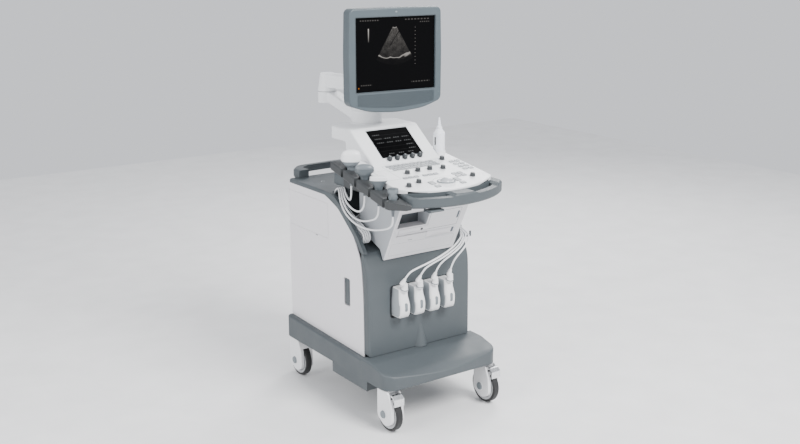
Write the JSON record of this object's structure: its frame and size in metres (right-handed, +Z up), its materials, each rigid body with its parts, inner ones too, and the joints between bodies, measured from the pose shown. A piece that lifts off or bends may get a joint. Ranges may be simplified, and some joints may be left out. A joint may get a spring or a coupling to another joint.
{
  "type": "ultrasound machine",
  "caption": "Cart-mounted diagnostic ultrasound machine with a height-adjustable console, touch screen, monitor on a folding arm, probes in side holders and swivel casters.",
  "frame": {"origin": "on the floor, midway between the four caster wheels, in the machine's middle plane", "axes": "+Z up, -Y towards the operator at the front, +X to the right seen from the front"},
  "size_m": [0.496, 0.8592, 1.3959],
  "materials": {
    "blue_grey_plastic": "fine moulded texture",
    "white_plastic": "satin moulded",
    "bottle_plastic": "smooth",
    "dark_plastic": "fine moulded texture",
    "knob_plastic": "satin",
    "key_plastic": "satin",
    "probe_plastic": "smooth",
    "cable_jacket": "soft smooth",
    "dark_glass": "polished",
    "frame_steel": "powder coated",
    "column_steel": "brushed",
    "sheet_metal": "plain",
    "caster_rubber": "tread",
    "chrome": "polished"
  },
  "bodies": {
    "cart": {"chassis": "frame_steel", "base_skirt": "blue_grey_plastic", "footrest": "blue_grey_plastic", "left_side_panel": "white_plastic", "right_side_panel": "white_plastic", "front_panel": "blue_grey_plastic", "rear_panel": "white_plastic", "top_deck": "blue_grey_plastic", "probe_connectors": "white_plastic", "power_supply": "sheet_metal", "electronics_rack": "sheet_metal"},
    "fan": {"cooling_fan": "knob_plastic"},
    "console": {"lift_column": "column_steel", "console_tray": "blue_grey_plastic", "console_top": "white_plastic", "touch_screen": "dark_glass", "front_pod": "white_plastic", "probe_holders": "dark_plastic", "probe_cable_1": "cable_jacket", "probe_cable_2": "cable_jacket", "probe_cable_3": "cable_jacket", "probe_cable_4": "cable_jacket"},
    "disc_drawer": {"disc_tray": "white_plastic"},
    "bottle": {"gel_bottle": "bottle_plastic"},
    "lever": {"height_lever": "knob_plastic"},
    "keys": {"keyboard_keys": "key_plastic"},
    "ball": {"trackball": "knob_plastic"},
    "arm_lower": {"lower_arm": "white_plastic"},
    "arm_upper": {"upper_arm": "white_plastic"},
    "yoke": {"monitor_yoke": "white_plastic"},
    "monitor": {"monitor_bezel": "blue_grey_plastic", "monitor_screen": "dark_glass", "monitor_back": "blue_grey_plastic"},
    "probe_convex": {"probe_convex": "probe_plastic"},
    "probe_abdominal": {"probe_abdominal": "probe_plastic"},
    "probe_linear": {"probe_linear": "probe_plastic"},
    "probe_small": {"probe_small": "probe_plastic"},
    "knob_01": {"knob_01": "knob_plastic"},
    "knob_02": {"knob_02": "knob_plastic"},
    "knob_03": {"knob_03": "knob_plastic"},
    "knob_04": {"knob_04": "knob_plastic"},
    "knob_05": {"knob_05": "knob_plastic"},
    "knob_06": {"knob_06": "knob_plastic"},
    "knob_07": {"knob_07": "knob_plastic"},
    "knob_08": {"knob_08": "knob_plastic"},
    "knob_09": {"knob_09": "knob_plastic"},
    "knob_10": {"knob_10": "knob_plastic"},
    "knob_11": {"knob_11": "knob_plastic"},
    "knob_12": {"knob_12": "knob_plastic"},
    "knob_13": {"knob_13": "knob_plastic"},
    "caster_front_left": {"caster_hood_front_left": "white_plastic"},
    "wheel_front_left": {"wheel_front_left": "caster_rubber"},
    "pedal_front_left": {"brake_pedal_front_left": "chrome"},
    "caster_front_right": {"caster_hood_front_right": "white_plastic"},
    "wheel_front_right": {"wheel_front_right": "caster_rubber"},
    "pedal_front_right": {"brake_pedal_front_right": "chrome"},
    "caster_rear_left": {"caster_hood_rear_left": "white_plastic"},
    "wheel_rear_left": {"wheel_rear_left": "caster_rubber"},
    "caster_rear_right": {"caster_hood_rear_right": "white_plastic"},
    "wheel_rear_right": {"wheel_rear_right": "caster_rubber"}
  },
  "joints": [
    {"name": "fan_spin", "type": "hinge", "parent": "cart", "child": "fan", "pos_m": [0.11, 0.314, 0.33], "axis": [0, 1, 0], "continuous": true},
    {"name": "console_lift", "type": "slide", "parent": "cart", "child": "console", "axis": [0, 0, 1], "range_m": [0, 0.1]},
    {"name": "disc_drawer_slide", "type": "slide", "parent": "console", "child": "disc_drawer", "axis": [0, -1, 0], "range_m": [0, 0.1]},
    {"name": "bottle_lift", "type": "slide", "parent": "console", "child": "bottle", "axis": [0, 0, 1], "range_m": [0, 0.055]},
    {"name": "lever_squeeze", "type": "hinge", "parent": "console", "child": "lever", "pos_m": [-0.103, -0.386, 0.777], "axis": [1, 0, 0], "range_deg": [-8, 0], "stiffness_Nm_per_rad": 0.3, "springref_deg": 20.05},
    {"name": "keys_press", "type": "slide", "parent": "console", "child": "keys", "axis": [0, -0.1392, 0.9903], "range_m": [-0.0015, 0], "stiffness_N_per_m": 900, "springref_m": 0.003},
    {"name": "ball_roll", "type": "hinge", "parent": "console", "child": "ball", "pos_m": [0, -0.326, 0.83429], "axis": [1, 0, 0], "continuous": true},
    {"name": "arm_swivel", "type": "hinge", "parent": "console", "child": "arm_lower", "pos_m": [0, 0.15, 1], "axis": [0, 0, 1], "range_deg": [-55, 55]},
    {"name": "elbow_swivel", "type": "hinge", "parent": "arm_lower", "child": "arm_upper", "pos_m": [-0.05, 0.335, 1.1], "axis": [0, 0, 1], "range_deg": [-50, 60]},
    {"name": "monitor_swivel", "type": "hinge", "parent": "arm_upper", "child": "yoke", "pos_m": [0.006, 0.07, 1.15], "axis": [0, 0, 1], "range_deg": [-40, 40]},
    {"name": "monitor_tilt", "type": "hinge", "parent": "yoke", "child": "monitor", "pos_m": [0.00321, 0.03812, 1.2], "axis": [0.9962, -0.0872, 0], "range_deg": [-15, 5]},
    {"name": "probe_convex_lift", "type": "slide", "parent": "console", "child": "probe_convex", "axis": [0, 0, 1], "range_m": [0, 0.1]},
    {"name": "probe_abdominal_lift", "type": "slide", "parent": "console", "child": "probe_abdominal", "axis": [0, 0, 1], "range_m": [0, 0.1]},
    {"name": "probe_linear_lift", "type": "slide", "parent": "console", "child": "probe_linear", "axis": [0, 0, 1], "range_m": [0, 0.1]},
    {"name": "probe_small_lift", "type": "slide", "parent": "console", "child": "probe_small", "axis": [0, 0, 1], "range_m": [0, 0.1]},
    {"name": "knob_01_turn", "type": "hinge", "parent": "console", "child": "knob_01", "pos_m": [-0.064, -0.088, 0.88524], "axis": [0, -0.592, 0.8059], "range_deg": [-140, 140]},
    {"name": "knob_02_turn", "type": "hinge", "parent": "console", "child": "knob_02", "pos_m": [-0.032, -0.088, 0.88524], "axis": [0, -0.592, 0.8059], "range_deg": [-140, 140]},
    {"name": "knob_03_turn", "type": "hinge", "parent": "console", "child": "knob_03", "pos_m": [0, -0.088, 0.88524], "axis": [0, -0.592, 0.8059], "range_deg": [-140, 140]},
    {"name": "knob_04_turn", "type": "hinge", "parent": "console", "child": "knob_04", "pos_m": [0.032, -0.088, 0.88524], "axis": [0, -0.592, 0.8059], "range_deg": [-140, 140]},
    {"name": "knob_05_turn", "type": "hinge", "parent": "console", "child": "knob_05", "pos_m": [0.064, -0.088, 0.88524], "axis": [0, -0.592, 0.8059], "range_deg": [-140, 140]},
    {"name": "knob_06_turn", "type": "hinge", "parent": "console", "child": "knob_06", "pos_m": [-0.075, -0.209, 0.85874], "axis": [0, -0.1392, 0.9903], "range_deg": [-140, 140]},
    {"name": "knob_07_turn", "type": "hinge", "parent": "console", "child": "knob_07", "pos_m": [-0.025, -0.2, 0.86], "axis": [0, -0.1392, 0.9903], "range_deg": [-140, 140]},
    {"name": "knob_08_turn", "type": "hinge", "parent": "console", "child": "knob_08", "pos_m": [0.025, -0.2, 0.86], "axis": [0, -0.1392, 0.9903], "range_deg": [-140, 140]},
    {"name": "knob_09_turn", "type": "hinge", "parent": "console", "child": "knob_09", "pos_m": [0.075, -0.209, 0.85874], "axis": [0, -0.1392, 0.9903], "range_deg": [-140, 140]},
    {"name": "knob_10_turn", "type": "hinge", "parent": "console", "child": "knob_10", "pos_m": [-0.092, -0.298, 0.84623], "axis": [0, -0.1392, 0.9903], "range_deg": [-140, 140]},
    {"name": "knob_11_turn", "type": "hinge", "parent": "console", "child": "knob_11", "pos_m": [-0.146, -0.318, 0.84342], "axis": [0, -0.1392, 0.9903], "range_deg": [-140, 140]},
    {"name": "knob_12_turn", "type": "hinge", "parent": "console", "child": "knob_12", "pos_m": [0.132, -0.128, 0.87012], "axis": [0, -0.1392, 0.9903], "range_deg": [-140, 140]},
    {"name": "knob_13_turn", "type": "hinge", "parent": "console", "child": "knob_13", "pos_m": [0.124, -0.31, 0.84454], "axis": [0, -0.1392, 0.9903], "range_deg": [-140, 140]},
    {"name": "caster_swivel_front_left", "type": "hinge", "parent": "cart", "child": "caster_front_left", "pos_m": [-0.21, -0.28, 0.15], "axis": [0, 0, 1], "continuous": true},
    {"name": "wheel_spin_front_left", "type": "hinge", "parent": "caster_front_left", "child": "wheel_front_left", "pos_m": [-0.21, -0.3, 0.0625], "axis": [1, 0, 0], "continuous": true},
    {"name": "brake_pedal_front_left", "type": "hinge", "parent": "caster_front_left", "child": "pedal_front_left", "pos_m": [-0.21, -0.322, 0.133], "axis": [1, 0, 0], "range_deg": [0, 7]},
    {"name": "caster_swivel_front_right", "type": "hinge", "parent": "cart", "child": "caster_front_right", "pos_m": [0.21, -0.28, 0.15], "axis": [0, 0, 1], "continuous": true},
    {"name": "wheel_spin_front_right", "type": "hinge", "parent": "caster_front_right", "child": "wheel_front_right", "pos_m": [0.21, -0.3, 0.0625], "axis": [1, 0, 0], "continuous": true},
    {"name": "brake_pedal_front_right", "type": "hinge", "parent": "caster_front_right", "child": "pedal_front_right", "pos_m": [0.21, -0.322, 0.133], "axis": [1, 0, 0], "range_deg": [0, 7]},
    {"name": "caster_swivel_rear_left", "type": "hinge", "parent": "cart", "child": "caster_rear_left", "pos_m": [-0.21, 0.32, 0.15], "axis": [0, 0, 1], "continuous": true},
    {"name": "wheel_spin_rear_left", "type": "hinge", "parent": "caster_rear_left", "child": "wheel_rear_left", "pos_m": [-0.21, 0.3, 0.0625], "axis": [1, 0, 0], "continuous": true},
    {"name": "caster_swivel_rear_right", "type": "hinge", "parent": "cart", "child": "caster_rear_right", "pos_m": [0.21, 0.32, 0.15], "axis": [0, 0, 1], "continuous": true},
    {"name": "wheel_spin_rear_right", "type": "hinge", "parent": "caster_rear_right", "child": "wheel_rear_right", "pos_m": [0.21, 0.3, 0.0625], "axis": [1, 0, 0], "continuous": true}
  ]
}
